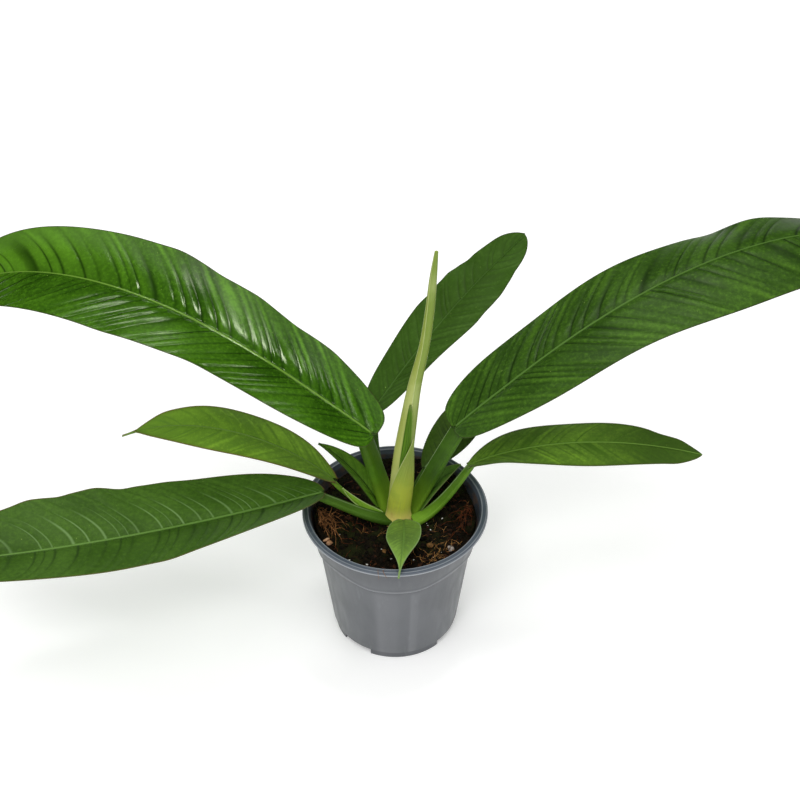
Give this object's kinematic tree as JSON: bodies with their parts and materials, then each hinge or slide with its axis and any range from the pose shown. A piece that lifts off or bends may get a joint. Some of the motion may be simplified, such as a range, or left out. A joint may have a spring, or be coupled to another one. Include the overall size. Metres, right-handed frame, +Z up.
{
  "type": "potted philodendron",
  "caption": "Tropical foliage plant with long strap-shaped leaves on channelled stalks round a rolled new leaf, standing in a plain tapered nursery pot.",
  "frame": {"origin": "centre of the flat underside of the pot", "axes": "+Z up along the pot's axis; the two long upper leaves spread along X; the small front leaf points to -Y"},
  "size_m": [0.6659, 0.2377, 0.298],
  "materials": {
    "pot_plastic": "satin moulded grey plastic",
    "potting_soil": "rough dark peat mix",
    "stem_skin": "smooth plant skin",
    "leaf_upper_left_skin": "glossy waxy leaf",
    "leaf_upper_right_skin": "glossy waxy leaf",
    "leaf_lower_left_skin": "satin waxy leaf",
    "leaf_mid_left_skin": "satin leaf",
    "leaf_lower_right_skin": "satin leaf",
    "leaf_back_skin": "satin leaf",
    "leaf_back_right_skin": "satin leaf",
    "leaf_front_small_skin": "matt leaf",
    "spear_skin": "satin plant skin",
    "spear_sheath_skin": "satin plant skin",
    "emerging_leaf_skin": "satin leaf",
    "bract_left_skin": "satin plant skin",
    "bract_left_pale_skin": "satin plant skin",
    "bract_right_skin": "satin plant skin"
  },
  "bodies": {
    "root": {"pot": "pot_plastic", "soil": "potting_soil", "stem": "stem_skin", "leaf_upper_left": "leaf_upper_left_skin", "leaf_upper_right": "leaf_upper_right_skin", "leaf_lower_left": "leaf_lower_left_skin", "leaf_mid_left": "leaf_mid_left_skin", "leaf_lower_right": "leaf_lower_right_skin", "leaf_back": "leaf_back_skin", "leaf_back_right": "leaf_back_right_skin", "leaf_front_small": "leaf_front_small_skin", "spear": "spear_skin", "spear_sheath": "spear_sheath_skin", "emerging_leaf": "emerging_leaf_skin", "bract_left": "bract_left_skin", "bract_left_pale": "bract_left_pale_skin", "bract_right": "bract_right_skin"}
  },
  "joints": []
}
